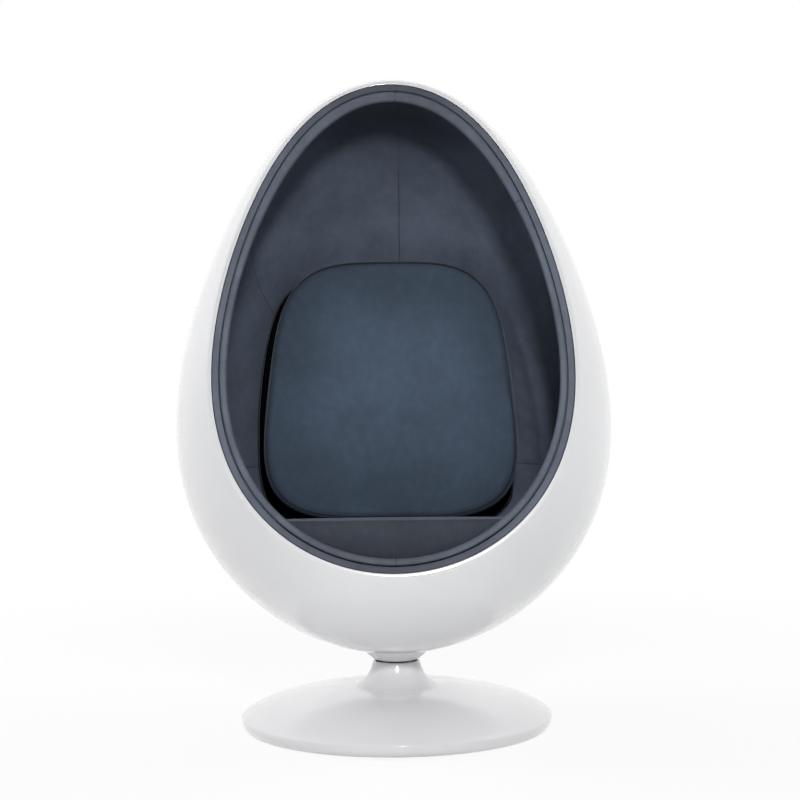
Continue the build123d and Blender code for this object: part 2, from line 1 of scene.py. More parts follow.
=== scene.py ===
import bmesh
import bpy
import numpy as np
from math import cos, pi, radians, sin
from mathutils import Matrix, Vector


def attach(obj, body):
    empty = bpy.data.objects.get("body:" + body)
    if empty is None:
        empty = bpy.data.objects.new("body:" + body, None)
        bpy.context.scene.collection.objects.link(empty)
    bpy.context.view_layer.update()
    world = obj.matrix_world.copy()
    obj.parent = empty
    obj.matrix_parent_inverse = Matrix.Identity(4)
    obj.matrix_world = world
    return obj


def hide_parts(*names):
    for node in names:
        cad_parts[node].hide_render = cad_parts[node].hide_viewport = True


# Pod chair, in metres: +Z up, the floor at 0, the swivel axis at X 0 and Y 0, the sitter faces -Y.
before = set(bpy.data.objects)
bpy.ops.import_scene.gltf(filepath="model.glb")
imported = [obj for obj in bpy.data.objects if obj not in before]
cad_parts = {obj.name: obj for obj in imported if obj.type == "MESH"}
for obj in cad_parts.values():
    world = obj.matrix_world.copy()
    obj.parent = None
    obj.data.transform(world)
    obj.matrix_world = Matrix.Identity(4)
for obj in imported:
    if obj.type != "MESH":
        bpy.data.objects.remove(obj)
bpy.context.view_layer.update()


# ---------------------------------------------------------------- base moulding
# The round foot is one moulding of glass-fibre laminate: a wide dome that sweeps up into a neck.
# It is sprayed with white gloss enamel, and it hides the steel plate and the post.
BASE_RADIUS = 0.313
BASE_EDGE = 0.0232
BASE_RISE = 0.0607
BASE_FALL = 2.18
BASE_ROUND = 0.68
BASE_FOOT = 0.3044
BASE_BOTTOM = 0.002
BASE_WALL = 0.005
NECK_FOOT = 0.100
NECK_TOP = 0.047
NECK_HEIGHT = 0.130
NECK_WAIST_OUT = 0.22    # share of the way out, and up, at which the neck is drawn in
NECK_WAIST_UP = 0.44
NECK_LEAN = 0.35         # how far its top flares for each metre down
ENAMEL = (0.80, 0.80, 0.815, 1)


class Paint:
    """One socket of a material, so that 1 - mask or 3 * noise on it adds the Math node it needs."""

    def __init__(self, tree, socket):
        self.tree = tree
        self.socket = socket

    def add(self, kind, sockets=(), output=0, stops=(), **settings):
        """Adds a node: its settings and ramp stops first, then the values or links of its sockets.
        Gives one of its outputs."""
        node = self.tree.nodes.new(kind)
        for name, value in settings.items():
            setattr(node, name, value)
        for element, (place, shade) in zip(node.color_ramp.elements if stops else (), stops):
            element.position = place
            element.color = shade
        for key, value in dict(sockets).items():
            if isinstance(value, Paint):
                self.tree.links.new(value.socket, node.inputs[key])
            else:
                node.inputs[key].default_value = value
        return Paint(self.tree, node.outputs[output])

    def sum(self, operation, first, second=0.0, third=0.0):
        return self.add("ShaderNodeMath", {0: first, 1: second, 2: third}, operation=operation)

    def __add__(self, other):
        return self.sum("ADD", self, other)

    def __sub__(self, other):
        return self.sum("SUBTRACT", self, other)

    def __rsub__(self, other):
        return self.sum("SUBTRACT", other, self)

    def __mul__(self, other):
        return self.sum("MULTIPLY", self, other)

    def __abs__(self):
        return self.sum("ABSOLUTE", self)

    __radd__ = __add__
    __rmul__ = __mul__

    def step(self, low, high):
        """0 below low and 1 above high, smooth between them; low may be the larger one."""
        ends = {0: self, 1: low, 2: high}
        return self.add("ShaderNodeMapRange", ends, interpolation_type="SMOOTHSTEP")

    def noise(self, scale, detail=2.0, roughness=0.5):
        sockets = {"Vector": self, "Scale": scale, "Detail": detail, "Roughness": roughness}
        return self.add("ShaderNodeTexNoise", sockets)

    def mix(self, first, second):
        """Colour between two, with this value as the share of the second."""
        return self.add("ShaderNodeMix", {0: self, 6: first, 7: second}, output=2, data_type="RGBA")

    def bump(self, depth, strength=1.0):
        """Normal of a surface raised by this height, whose full value stands the depth proud."""
        return self.add("ShaderNodeBump", {"Height": self, "Distance": depth, "Strength": strength})


def finish(name, roughness, **fixed):
    """A material: its shader, its object coordinates, and the sockets that are the same all over."""
    made = bpy.data.materials.new(name)
    made.use_nodes = True
    shader = made.node_tree.nodes["Principled BSDF"]
    shader.inputs["Roughness"].default_value = roughness
    for socket, value in fixed.items():
        shader.inputs[socket.replace("_", " ")].default_value = value
    place = made.node_tree.nodes.new("ShaderNodeTexCoord").outputs["Object"]
    return made, shader, Paint(made.node_tree, place)


def feed(shader, socket, value):
    value.tree.links.new(value.socket, shader.inputs[socket])


def white_gloss(name, colour, ripple):
    """Sprayed white: even colour with a trace of cloud, dust nibs, and orange peel in the gloss."""
    made, shader, place = finish(name, 0.16, Coat_Weight=0.6, Coat_Roughness=0.04, IOR=1.5)
    cloud = place.noise(3.0, 3.0)
    shade = tuple(0.965 * c for c in colour[:3]) + (1,)
    feed(shader, "Base Color", cloud.step(0.35, 0.7).mix(colour, shade))
    peel = place.noise(240.0, 2.0) + 4.0 * place.noise(9.0, 1.0)
    feed(shader, "Normal", peel.bump(ripple, 0.5))
    feed(shader, "Roughness", 0.13 + 0.07 * place.noise(30.0, 4.0))
    return made


def skin(name, grid, wrap=True, ring=False, tips=()):
    """Mesh on a grid of points. wrap joins the last column to the first, ring the last row to the
    first, and each tip, 0 or -1, closes that end row with one point in its middle."""
    rows, columns = grid.shape[:2]
    index = np.arange(rows * columns).reshape(rows, columns)
    if wrap:
        index = np.concatenate([index, index[:, :1]], axis=1)
    if ring:
        index = np.concatenate([index, index[:1]], axis=0)
    quads = np.stack([index[:-1, :-1], index[:-1, 1:], index[1:, 1:], index[1:, :-1]], axis=-1)
    faces = quads.reshape(-1, 4).tolist()
    points = grid.reshape(-1, 3)
    for tip in tips:
        edge = index[tip]
        closing = np.stack([edge[1:], edge[:-1], np.full(len(edge) - 1, len(points))], axis=-1)
        faces += (closing if tip == 0 else closing[:, ::-1]).tolist()
        points = np.concatenate([points, grid[tip].mean(axis=0, keepdims=True)])
    mesh = bpy.data.meshes.new(name)
    mesh.from_pydata(points.tolist(), [], faces)
    work = bmesh.new()
    work.from_mesh(mesh)
    bmesh.ops.recalc_face_normals(work, faces=work.faces)
    work.to_mesh(mesh)
    work.free()
    mesh.shade_smooth()
    piece = bpy.data.objects.new(name, mesh)
    bpy.context.scene.collection.objects.link(piece)
    return piece


def spin(name, outline, columns=192, **ends):
    """A turned piece: the outline's radius and height carried round the swivel axis."""
    turn = np.linspace(0, 2 * pi, columns, endpoint=False)
    radius, height = outline[:, 0, None], outline[:, 1, None]
    grid = np.stack([radius * np.cos(turn), radius * np.sin(turn), height + 0 * turn], axis=-1)
    return skin(name, grid, **ends)


def fit(piece, body, slot, material, *nodes):
    """Gives a new piece its finish and body, and lets it stand for the CAD nodes named. The slot is
    not used.
    """
    piece.data.materials.append(material)
    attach(piece, body)
    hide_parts(*nodes)
    return piece


def clad(material, *nodes):
    """Gives CAD nodes that keep their own shape a finish."""
    for node in nodes:
        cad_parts[node].material_slots[0].material = material


def curve(points, first_way, last_way, count):
    """Smooth cubic through points, leaving and arriving along unit ways: the slopes at the inner
    points make the curvature run on, which is one small set of linear equations."""
    points = np.array(points, float)
    gaps = np.linalg.norm(np.diff(points, axis=0), axis=1)
    size = len(points)
    table, right = np.eye(size), np.zeros_like(points)
    right[0], right[-1] = first_way, last_way
    for i in range(1, size - 1):
        before, after = gaps[i - 1], gaps[i]
        table[i, i - 1:i + 2] = after, 2 * (before + after), before
        step_in, step_out = points[i] - points[i - 1], points[i + 1] - points[i]
        right[i] = 3 * (after / before * step_in + before / after * step_out)
    ways = np.linalg.solve(table, right)
    t = np.linspace(0, 1, count, endpoint=False)[:, None]
    runs = []
    for i, gap in enumerate(gaps):
        blend = (2 * t**3 - 3 * t**2 + 1, t**3 - 2 * t**2 + t, 3 * t**2 - 2 * t**3, t**3 - t**2)
        runs.append(blend[0] * points[i] + blend[1] * gap * ways[i]
                    + blend[2] * points[i + 1] + blend[3] * gap * ways[i + 1])
    return np.concatenate([*runs, points[-1:]])


def thicken(outline, wall, lip=8):
    """Closes a half profile with its inner wall, square to it, and a rounded lip at the start."""
    way = np.gradient(outline, axis=0)
    side = np.stack([way[:, 1], -way[:, 0]], axis=1)
    side /= np.linalg.norm(side, axis=1, keepdims=True)
    inner = outline + side * wall
    turn = np.linspace(0, pi, lip)[1:-1, None]
    middle = (outline[0] + inner[0]) / 2
    out = way[0] / np.linalg.norm(way[0])
    round_lip = middle + (inner[0] - outline[0]) / 2 * np.cos(turn) - out * wall / 2 * np.sin(turn)
    return np.concatenate([outline, inner[::-1], round_lip])


def dome_height(radius):
    """Height of the dome: the rise times a power of one minus the radius's share, to a power."""
    return BASE_EDGE + BASE_RISE * (1 - (radius / BASE_RADIUS) ** BASE_FALL).clip(0) ** BASE_ROUND


neck_foot = np.array([NECK_FOOT, dome_height(np.float64(NECK_FOOT))])
neck_middle = (NECK_TOP + NECK_WAIST_OUT * (NECK_FOOT - NECK_TOP),
               neck_foot[1] + NECK_WAIST_UP * (NECK_HEIGHT - neck_foot[1]))
foot_way = np.array([0.001, dome_height(np.float64(NECK_FOOT + 0.001)) - neck_foot[1]])
foot_way /= np.linalg.norm(foot_way)
lean = np.array([NECK_LEAN, -1]) / np.hypot(NECK_LEAN, 1)
neck = curve([(NECK_TOP, NECK_HEIGHT), neck_middle, neck_foot], lean, foot_way, 24)
sweep = np.sin(np.linspace(0, pi / 2, 60))[1:]
dome_radius = NECK_FOOT + (BASE_RADIUS - NECK_FOOT) * sweep
dome = np.stack([dome_radius, dome_height(dome_radius)], axis=1)
tuck_way = np.array([-1, -1]) / np.sqrt(2)
tuck = curve([(BASE_RADIUS, BASE_EDGE), (BASE_FOOT, BASE_BOTTOM)], (0, -1), tuck_way, 14)[1:]
enamel = white_gloss("white_enamel", ENAMEL, 0.00006)
moulding = spin("base_moulding", thicken(np.concatenate([neck, dome, tuck]), BASE_WALL), ring=True)
fit(moulding, "base", "white_gloss", enamel, "base_shell")


# ---------------------------------------------------------------- inside the base
# A turned steel plate gives the weight, on a rubber disc that spares the floor. The post is welded
# to it with four ribs, and six zinc-plated screws hold the moulding down.
def metal(name, colour, roughness, grain, along):
    """Steel or bronze: brushed or turned lines along the given stretch, with a little tarnish."""
    made, shader, place = finish(name, roughness, Metallic=1.0)
    lines = place.add("ShaderNodeMapping", {"Vector": place, "Scale": along}).noise(grain, 4.0)
    dull = tuple(0.62 * c for c in colour[:3]) + (1,)
    feed(shader, "Base Color", place.noise(35.0, 4.0).step(0.45, 0.8).mix(colour, dull))
    feed(shader, "Roughness", roughness - 0.08 + 0.16 * lines)
    feed(shader, "Normal", lines.bump(0.0001, 0.3))
    return made


def rubber(name):
    """Black rubber: matt, with dust in the moulded grain."""
    made, shader, place = finish(name, 0.8)
    dust = place.noise(60.0, 5.0).step(0.5, 0.85)
    feed(shader, "Base Color", dust.mix((0.018, 0.018, 0.018, 1), (0.055, 0.054, 0.052, 1)))
    feed(shader, "Normal", place.noise(900.0, 2.0).bump(0.0002, 0.5))
    return made


black_rubber = rubber("black_rubber")
raw_steel = metal("mill_steel", (0.36, 0.36, 0.37, 1), 0.46, 90.0, (1, 1, 6))
zinc = metal("zinc_plate", (0.60, 0.61, 0.62, 1), 0.34, 260.0, (1, 1, 1))
clad(black_rubber, "underpad", "seating_pad")
clad(raw_steel, "floor_plate", "centre_post", "post_gussets", "bearing_housing", "swivel_flange")
clad(zinc, "base_screws", "collar_screws", "mounting_bolts", "bolt_washers")
clad(zinc, "deck_screws", "apron_screws", "spindle_circlip", "spindle_washer")


# ---------------------------------------------------------------- swivel
# The ground spindle turns in two bronze bushes, and a thrust bearing of twelve rollers in a bronze
# cage carries the weight.
ground_steel = metal("ground_steel", (0.66, 0.66, 0.67, 1), 0.22, 420.0, (1, 1, 12))
bronze = metal("turned_bronze", (0.55, 0.38, 0.19, 1), 0.34, 300.0, (1, 1, 10))
clad(ground_steel, "swivel_spindle", "thrust_race_lower", "thrust_race_upper", "bearing_rollers")
clad(bronze, "upper_bush", "lower_bush", "roller_cage")


# ---------------------------------------------------------------- collar
# A small pressed dish, enamelled like the base, hides the flange under the egg. Its rolled lower
# corner stands just above the neck, and a dark gap is left to turn in.
COLLAR_BOTTOM = 0.134
COLLAR_RADIUS = 0.0465
COLLAR_CORNER = 0.005
COLLAR_FLARE = 1.175
COLLAR_WALL = 0.0026
HUB_HOLE = 0.0245
POD_BOTTOM = 0.148
POD_TOP = 1.299
POD_RADIUS = 0.425
POD_TAPER = 0.241
POD_ROUNDING = 0.109


def egg_profile(inset, count=3000):
    """Radius and height up the egg's side, moved in square to the surface. The radius is that of
    an ellipse times a cubic that narrows the top."""
    turn = np.linspace(0, pi, count)
    share = -np.cos(turn)
    swell = 1 - POD_TAPER * share + POD_ROUNDING * share**3
    half = (POD_TOP - POD_BOTTOM) / 2
    middle = (POD_TOP + POD_BOTTOM) / 2
    outline = np.stack([POD_RADIUS * np.sin(turn) * swell, middle + half * share], axis=1)
    way = np.gradient(outline, axis=0)
    way /= np.linalg.norm(way, axis=1, keepdims=True)
    return outline + inset * np.stack([-way[:, 1], way[:, 0]], axis=1)


under_egg = egg_profile(-0.0003)
rise = np.linspace(0, 0.0235, 20)[1:]
flare = np.stack([COLLAR_RADIUS + 0.002 + COLLAR_FLARE * rise, COLLAR_BOTTOM + 0.003 + rise], axis=1)
below_egg = flare[:, 1] < np.interp(flare[:, 0], under_egg[:800, 0], under_egg[:800, 1])
corner = curve([(COLLAR_RADIUS - COLLAR_CORNER, COLLAR_BOTTOM), flare[0]], (1, 0), (0.65, 0.76), 10)
dish_floor = np.linspace((HUB_HOLE, COLLAR_BOTTOM), (COLLAR_RADIUS - COLLAR_CORNER, COLLAR_BOTTOM), 8)
dish = np.concatenate([dish_floor[:-1], corner[:-1], flare[below_egg]])
collar = spin("collar_dish", thicken(dish[::-1], COLLAR_WALL), ring=True, columns=128)
fit(collar, "pod", "white_gloss", enamel, "collar")


# ---------------------------------------------------------------- egg shell
# The egg is one hand-laid glass-fibre shell with a white gel coat, polished to a high gloss. It is
# cut by a plane that leans back, and the cut edge is rounded by hand.
SETBACK = 0.242
TILT = radians(16.8)
SHELL_WALL = 0.007
SHELL_LIP = 0.0022
GEL_COAT = (0.80, 0.805, 0.82, 1)
middle_of_opening = np.array([0, -SETBACK, (POD_TOP + POD_BOTTOM) / 2])
outwards = np.array([0, -cos(TILT), sin(TILT)])
upwards = np.array([0, sin(TILT), cos(TILT)])
straight_back = np.array([0, 0.99, -0.10])


def fan(depth, around):
    """Ways from the middle of the opening: depth 0 points back, depth 1 lies in the opening, and
    around turns from +X up past the top."""
    flat = np.cos(around)[..., None] * np.array([1.0, 0, 0]) + np.sin(around)[..., None] * upwards
    way = np.cos(depth * pi / 2)[..., None] * straight_back + np.sin(depth * pi / 2)[..., None] * flat
    return way / np.linalg.norm(way, axis=-1, keepdims=True)


def on_egg(depth, around, inset, behind=0.0):
    """Points where the fan's rays, from so far behind the opening, meet the egg, found by halving."""
    depth, around = np.broadcast_arrays(np.asarray(depth, float), np.asarray(around, float))
    start, ways = middle_of_opening - outwards * behind, fan(depth, around)
    radius, height = egg_profile(inset).T
    near, far = np.zeros(depth.shape), np.full(depth.shape, 1.4)
    for _ in range(36):
        reach = (near + far) / 2
        at = start + ways * reach[..., None]
        inside = np.hypot(at[..., 0], at[..., 1]) < np.interp(at[..., 2], height, radius, -1, -1)
        near, far = np.where(inside, reach, near), np.where(inside, far, reach)
    return start + ways * near[..., None]


def turn_corner(first, corner_points, last, count):
    """Rows that round off a corner: a parabola from the first row to the last, aimed at the
    corner."""
    t = np.linspace(0, 1, count)[:, None, None]
    return (1 - t) ** 2 * first + 2 * t * (1 - t) * corner_points + t**2 * last


whole_turn = np.linspace(0, 2 * pi, 400, endpoint=False)
outside = on_egg(np.linspace(0.01, 1, 150)[:, None], whole_turn, 0.0, SHELL_LIP)
inside = on_egg(np.linspace(1, 0.01, 60)[:, None], whole_turn, SHELL_WALL, SHELL_LIP)
cut_outer = on_egg(1.0, whole_turn, 0.0)
cut_inner = on_egg(1.0, whole_turn, SHELL_WALL)
inward = cut_inner - cut_outer
lip = turn_corner(outside[-1], cut_outer, cut_outer + 0.40 * inward, 7)
inner_lip = turn_corner(cut_outer + 0.75 * inward, cut_inner, inside[0], 5)
gel_coat = white_gloss("gel_coat", GEL_COAT, 0.00004)
egg = skin("egg_shell", np.concatenate([outside[:-1], lip, inner_lip, inside[1:]]), tips=(0, -1))
fit(egg, "pod", "shell_gloss", gel_coat, "pod_shell")


# ---------------------------------------------------------------- rim band and roll
# A flat band of velvet is glued to a strip inside the shell's edge, and a padded roll covered in
# the same velvet is tacked inside it. Cross seams join the roll's lengths, and it is plumper on top.
BAND_INSET = 0.0073
BAND_WIDTH = 0.0116
RIM_DEPTH = 0.0135
ROLL_RADIUS = 0.0075
ROLL_PROUD = 0.0025
ROLL_GAP = 0.0020
ROLL_SLIM = 0.90         # the roll's width as a share, at the sides and below
ROLL_PLUMP = 0.62        # how much wider it grows between these heights
PLUMP_FROM = 0.90
PLUMP_TO = 1.28
JOINT_DEPTH = 0.14       # how far the roll is drawn in at a joint, as a share
JOINT_LENGTH = 0.0045
ROLL_JOINTS = ((-0.38, 0.735), (0.38, 0.735), (0.0, 0.36), (0.01, 1.29), (0.27, 1.05))   # X and Z
SLATE = (0.106, 0.121, 0.158, 1)
SLATE_NAP = (0.160, 0.179, 0.228, 1)


def velvet(name, colour, nap, cloud=9.0, dark=None):
    """Short-pile velvet: patches where the pile lies another way, fine pile grain, and a soft sheen.
    dark takes the coordinates and gives how much is drawn towards black: in seams, and where shade is
    painted."""
    made, shader, place = finish(name, 0.82, Sheen_Weight=0.25, Sheen_Roughness=0.45)
    shader.inputs["Sheen Tint"].default_value = (0.55, 0.62, 0.75, 1)
    shader.inputs["Specular IOR Level"].default_value = 0.25
    patches = place.noise(cloud, 3.0, 0.55).step(0.32, 0.70)
    brushed = place.noise(55.0, 3.0, 0.6).step(0.35, 0.75)
    pile = place.noise(1500.0, 2.0)
    shade = (0.75 * patches + 0.3 * brushed + 0.15 * pile).mix(colour, nap)
    height = 0.35 * pile + 0.3 * place.noise(420.0, 2.0) + 0.5 * brushed
    if dark:
        lost = dark(place)
        lost = lost.sum("MINIMUM", lost, 1.0)
        # Seams and painted shade draw the colour towards black.
        shade = lost.mix(shade, (0.0008, 0.0008, 0.0012, 1))
        height = height - 3.0 * lost
    feed(shader, "Base Color", shade)
    feed(shader, "Normal", height.bump(0.0006, 0.45))
    feed(shader, "Roughness", 0.74 + 0.16 * patches)
    return made


def along_rim(count):
    """Evenly spaced points round the band's outer edge, with the way inwards in the opening's
    plane."""
    turn = np.linspace(0, 2 * pi, 2000)
    border = on_egg(1.0, turn, BAND_INSET)
    length = np.concatenate([[0], np.cumsum(np.linalg.norm(np.diff(border, axis=0), axis=1))])
    even = np.interp(np.linspace(0, length[-1], count, endpoint=False), length, turn)
    border = on_egg(1.0, even, BAND_INSET)
    way = np.roll(border, -1, axis=0) - np.roll(border, 1, axis=0)
    inwards = np.cross(outwards, way)
    return border, inwards / np.linalg.norm(inwards, axis=1, keepdims=True)


def tag(piece, name, values):
    """Stores one number for each point, for the piece's material to read."""
    layer = piece.data.attributes.new(name, "FLOAT", "POINT")
    padded = np.zeros(len(piece.data.vertices))
    padded[:values.size] = values.ravel()
    layer.data.foreach_set("value", padded)


def carry(border, inwards, section):
    """A section of steps inwards and outwards of the plane, carried round the rim."""
    return border + inwards * section[:, :1, None] + outwards * section[:, 1:, None]


def stored(place, name):
    """A number kept with the piece's points."""
    node = place.add("ShaderNodeAttribute", attribute_name=name).socket.node
    return Paint(place.tree, node.outputs["Fac"])


def painted_rim_shade(place):
    """Painted shade: the rim's velvet is drawn darker where the rim runs across, above and below."""
    across = abs(place.add("ShaderNodeSeparateXYZ", {0: place}))
    return 0.40 * across.step(0.30, 0.04)


def roll_joints_and_painted_shade(place):
    """Sewn joints across the roll, painted shade on either flank where it is tucked in, and the rim's
    painted shade above and below.
    """
    joints = 0.8 * abs(stored(place, "along")).step(0.0018, 0.0005)
    return joints + 0.95 * stored(place, "front").step(0.95, -0.15) + 0.6 * painted_rim_shade(place)


rim_border, rim_inwards = along_rim(900)
share = np.linspace(0, 1, 13)
crown = np.stack([BAND_WIDTH * share, 0.0011 * np.sin(pi * share) ** 0.5 - 0.0012], axis=1)
band_back = [(across, -RIM_DEPTH * depth) for across, depth in (
    (BAND_WIDTH, 0.5), (BAND_WIDTH, 1), (0, 1), (0, 0.5))]
# The band's velvet takes painted shade at the top and bottom of the rim.
band_velvet = velvet("band_velvet", SLATE, SLATE_NAP, dark=painted_rim_shade)
band = skin("rim_band", carry(rim_border, rim_inwards, np.concatenate([crown, band_back])), ring=True)
fit(band, "pod", "slate_fabric", band_velvet, "rim_trim")

roll_turn = np.linspace(-0.5 * pi, 1.5 * pi, 28, endpoint=False)
roll_ring = ROLL_RADIUS * np.stack([np.cos(roll_turn), np.sin(roll_turn)], axis=1)
climb = ((rim_border[:, 2] - PLUMP_FROM) / (PLUMP_TO - PLUMP_FROM)).clip(0, 1)
width = (ROLL_SLIM + ROLL_PLUMP * climb**2 * (3 - 2 * climb))[:, None]
roll_middle = (rim_inwards * (BAND_WIDTH + ROLL_GAP + ROLL_RADIUS * width)
               + outwards * (ROLL_PROUD - ROLL_RADIUS))
from_joint = np.full(len(rim_border), 1.0)
for joint_x, joint_z in ROLL_JOINTS:
    gap = np.hypot(rim_border[:, 0] - joint_x, rim_border[:, 2] - joint_z)
    side = np.sign(np.arange(len(gap)) - gap.argmin())
    from_joint = np.where(gap < np.abs(from_joint), gap * side, from_joint)
drawn_in = 1 - JOINT_DEPTH * np.exp(-(from_joint / JOINT_LENGTH) ** 2)
places = np.arange(len(rim_border))
puffed = drawn_in + 0.02 * np.sin(places * 0.11) * np.sin(places * 0.047)
roll_ways = rim_inwards * width * roll_ring[:, :1, None] + outwards * roll_ring[:, 1:, None]
roll_grid = rim_border + roll_middle + puffed[:, None] * roll_ways
roll = skin("rim_roll_cover", roll_grid, ring=True)
tag(roll, "along", np.broadcast_to(from_joint, roll_grid.shape[:2]))
# front is how far each point faces out, read for the painted shade on the roll's flanks.
tag(roll, "front", np.broadcast_to(np.sin(roll_turn)[:, None], roll_grid.shape[:2]))
roll_velvet = velvet("roll_velvet", SLATE, SLATE_NAP, cloud=14.0, dark=roll_joints_and_painted_shade)
fit(roll, "pod", "slate_fabric", roll_velvet, "rim_roll")


# ---------------------------------------------------------------- lining
# Velvet over foam lines the egg. Its panels meet in plain seams: up the back, level just above the
# seat, and slanting down to the cushion, which shows on the left only: on the right they have crept.
LINING_INSET = 0.0263
LINING_BACK = 0.0096
LINING = (0.102, 0.125, 0.170, 1)
LINING_NAP = (0.148, 0.179, 0.242, 1)
WELL_BOTTOM = 0.385
WELL_TOP = 0.915
WELL_HALF_LOW = 0.2785
WELL_HALF_HIGH = 0.2340
WELL_BOW = 0.0333
WELL_SQUARENESS = 6.5
CREEP = 0.024            # how far the right-hand panels have crept towards the cushion
CREEP_ABOVE = 0.014      # and how much further above its lower corner
EDGE_DROP = 0.009        # how far the edge round the well rolls back
BACK_SEAM = 0.016        # X of the seam up the back
SIDE_SEAMS = 0.15        # the slanting seams start so far from the middle
CREASE_HEIGHT = 0.009
SLANT_Y = 0.161
SLANT_Z = 0.938
SLANT = radians(41.6)
LEVEL_Z = 0.510
SEAT_EDGE = np.array([0, -0.3067, 0.447])
RAKE = radians(7.0)
SEAT_THICKNESS = 0.050
seat_up = np.array([0, sin(RAKE), cos(RAKE)])
seat_back = np.array([0, cos(RAKE), -sin(RAKE)])


def in_well(at):
    """Whether points lie in the opening behind the cushion: a super-ellipse with bowed sides."""
    up = (at[..., 2] - (WELL_TOP + WELL_BOTTOM) / 2) / ((WELL_TOP - WELL_BOTTOM) / 2)
    middle, slope = (WELL_HALF_LOW + WELL_HALF_HIGH) / 2, (WELL_HALF_HIGH - WELL_HALF_LOW) / 2
    crept = CREEP + CREEP_ABOVE * ((up + 0.8) / 0.25).clip(0, 1)
    side = middle + slope * up + WELL_BOW * (1 - up**2) - crept * (at[..., 0] > 0)
    return (np.abs(at[..., 0]) / side) ** WELL_SQUARENESS + np.abs(up) ** WELL_SQUARENESS < 1


def above_deck(at):
    return (at - SEAT_EDGE) @ seat_up > 0.0006 - SEAT_THICKNESS


def depth_where(test, around, inset):
    """Depth along each of the fan's rays up to which the points pass the test, found by halving."""
    near, far = np.zeros(around.shape), np.ones(around.shape)
    for _ in range(26):
        depth = (near + far) / 2
        passed = test(on_egg(depth, around, inset, RIM_DEPTH + 0.0003))
        near, far = np.where(passed, depth, near), np.where(passed, far, depth)
    return near


def seam_distances(x, y, z):
    """Distances to the planes of the back, slanting and level seams."""
    return abs(x - BACK_SEAM), sin(SLANT) * (y - SLANT_Y) + cos(SLANT) * (z - SLANT_Z), z - LEVEL_Z


def lining_seams_and_painted_shade(place):
    """Sewn lines where the panels' planes cross, painted near-black shadow along the edge round the
    well, and painted shade in the hood, deepening towards the top, and a little below the left
    slanting seam."""
    parts = place.add("ShaderNodeSeparateXYZ", {0: place})
    x, y, z = (Paint(place.tree, socket) for socket in parts.socket.node.outputs)
    middle, slant, level = seam_distances(x, y, z)
    sewn = 0.50 * middle.step(0.0018, 0.0003) * slant.step(-0.001, 0.001) * z.step(1.21, 1.08)
    sewn = sewn + 0.40 * abs(slant).step(0.0016, 0.0003) * x.step(-SIDE_SEAMS, -SIDE_SEAMS - 0.01)
    sewn = sewn + 0.45 * abs(level).step(0.0016, 0.0003)
    # Painted shade: the hood darker towards the top, and the panel below the left slanting seam a
    # little darker.
    turned = 0.30 * z.step(0.98, 1.16) + 0.45 * z.step(1.15, 1.25)
    turned = turned + 0.05 * slant.step(0.002, -0.002) * x.step(-0.10, -0.20)
    return sewn + turned + stored(place, "well_edge_shade").step(0.25, 0.7)


def lining_relief(at):
    """Height of the padding's surface: slow swells, less a rounded dip along each seam, and on the
    right the soft crease that the crept panels have thrown up beside the cushion."""
    x, y, z = at[..., 0], at[..., 1], at[..., 2]
    middle, slant, level = seam_distances(x, y, z)
    swell = 0.0010 * (np.sin(19 * x + 7 * z) + np.sin(15 * z - 13 * y + 1))
    dips = np.exp(-(middle / 0.007) ** 2) * (slant > 0) + np.exp(-(level / 0.006) ** 2)
    dips += np.exp(-(slant / 0.007) ** 2) * (x < -SIDE_SEAMS)
    ridge_x = 0.322 - 0.75 * (z - 0.53) ** 2
    beside = (x - ridge_x) / 0.013
    fade = np.exp(-((z - 0.60) / 0.20) ** 4) * (x > 0) * (y > 0)
    ripple = 0.0018 * np.sin(150 * z + 40 * x) * np.exp(-((beside + 1.6) / 0.9) ** 2)
    return swell - 0.0024 * dips + fade * (CREASE_HEIGHT * np.exp(-beside**2) + ripple)


around = np.linspace(0, 2 * pi, 600, endpoint=False)
edge = depth_where(in_well, around, LINING_INSET)
end = depth_where(above_deck, around, LINING_INSET)
front_share = np.linspace(0, 1, 115)[:, None]
front_depth = edge + (end - edge) * front_share
lining_front = on_egg(front_depth, around, LINING_INSET, RIM_DEPTH + 0.0003)
rolled_edge = 1 - np.exp(-front_share * 14)
lining_front = lining_front - fan(*np.broadcast_arrays(front_depth, around)) * (
    lining_relief(lining_front) * rolled_edge - EDGE_DROP * (1 - rolled_edge) ** 2)[..., None]
back_edge = depth_where(in_well, around, LINING_BACK)
back_end = depth_where(above_deck, around, LINING_BACK)
back_share = np.linspace(1, 0, 18)[:, None]
back_depth = back_edge + (back_end - back_edge) * back_share
lining_back = on_egg(back_depth, around, LINING_BACK, RIM_DEPTH + 0.0003)
lining_velvet = velvet("lining_velvet", LINING, LINING_NAP, dark=lining_seams_and_painted_shade)
lining = skin("lining", np.concatenate([lining_front, lining_back]), ring=True)
# Painted shadow: the lining's edge round the well, and its back, are drawn near-black for the deep
# shadow behind the cushion.
well_edge_shade = np.concatenate([np.exp(-(front_share / 0.0045) ** 2), np.ones(back_share.shape)])
tag(lining, "well_edge_shade", np.repeat(well_edge_shade, len(around), axis=1))
panels = [f"lining_{part}_{hand}" for part in ("hood", "side", "lower") for hand in ("left", "right")]
fit(lining, "pod", "slate_fabric", lining_velvet, *panels)

